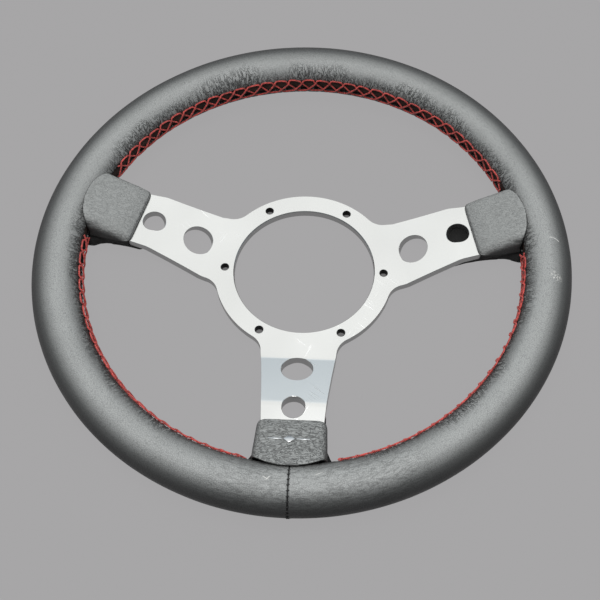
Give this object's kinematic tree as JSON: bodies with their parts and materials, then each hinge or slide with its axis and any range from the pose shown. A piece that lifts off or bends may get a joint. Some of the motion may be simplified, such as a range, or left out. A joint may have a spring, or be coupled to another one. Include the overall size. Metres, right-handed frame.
{
  "type": "car steering wheel",
  "caption": "Sports steering wheel with a bent metal spoke plate, a padded leather rim with red cross lacing, and a moulded cover over each spoke end.",
  "frame": {"origin": "centre of the bolt circle, on the back face of the hub", "axes": "+Z along the steering axis towards the driver, +Y up the face of the wheel, with the lower spoke towards -Y"},
  "size_m": [0.33, 0.3307, 0.0367],
  "materials": {
    "plate_metal": "satin, with polished hole edges and a few scratches",
    "rim_leather": "smooth fine-grained leather, worn, with small pale scuffs",
    "cover_moulding": "moulded leather grain",
    "red_thread": "waxed lacing thread",
    "black_thread": "waxed sewing thread",
    "foam": "matte skin of moulded foam",
    "frame_steel": "plain steel",
    "rivet_metal": "plain"
  },
  "bodies": {
    "root": {"spoke_plate": "plate_metal", "rim_hoop": "frame_steel", "rim_padding": "foam", "leather_wrap": "rim_leather", "tab_right": "frame_steel", "tab_left": "frame_steel", "tab_lower": "frame_steel", "rivet_right_a": "rivet_metal", "rivet_right_b": "rivet_metal", "rivet_left_a": "rivet_metal", "rivet_left_b": "rivet_metal", "rivet_lower_a": "rivet_metal", "rivet_lower_b": "rivet_metal", "lacing_upper": "red_thread", "lacing_left": "red_thread", "lacing_right": "red_thread", "seam_thread": "black_thread", "cover_right": "cover_moulding", "cover_left": "cover_moulding", "cover_lower": "cover_moulding"}
  },
  "joints": []
}
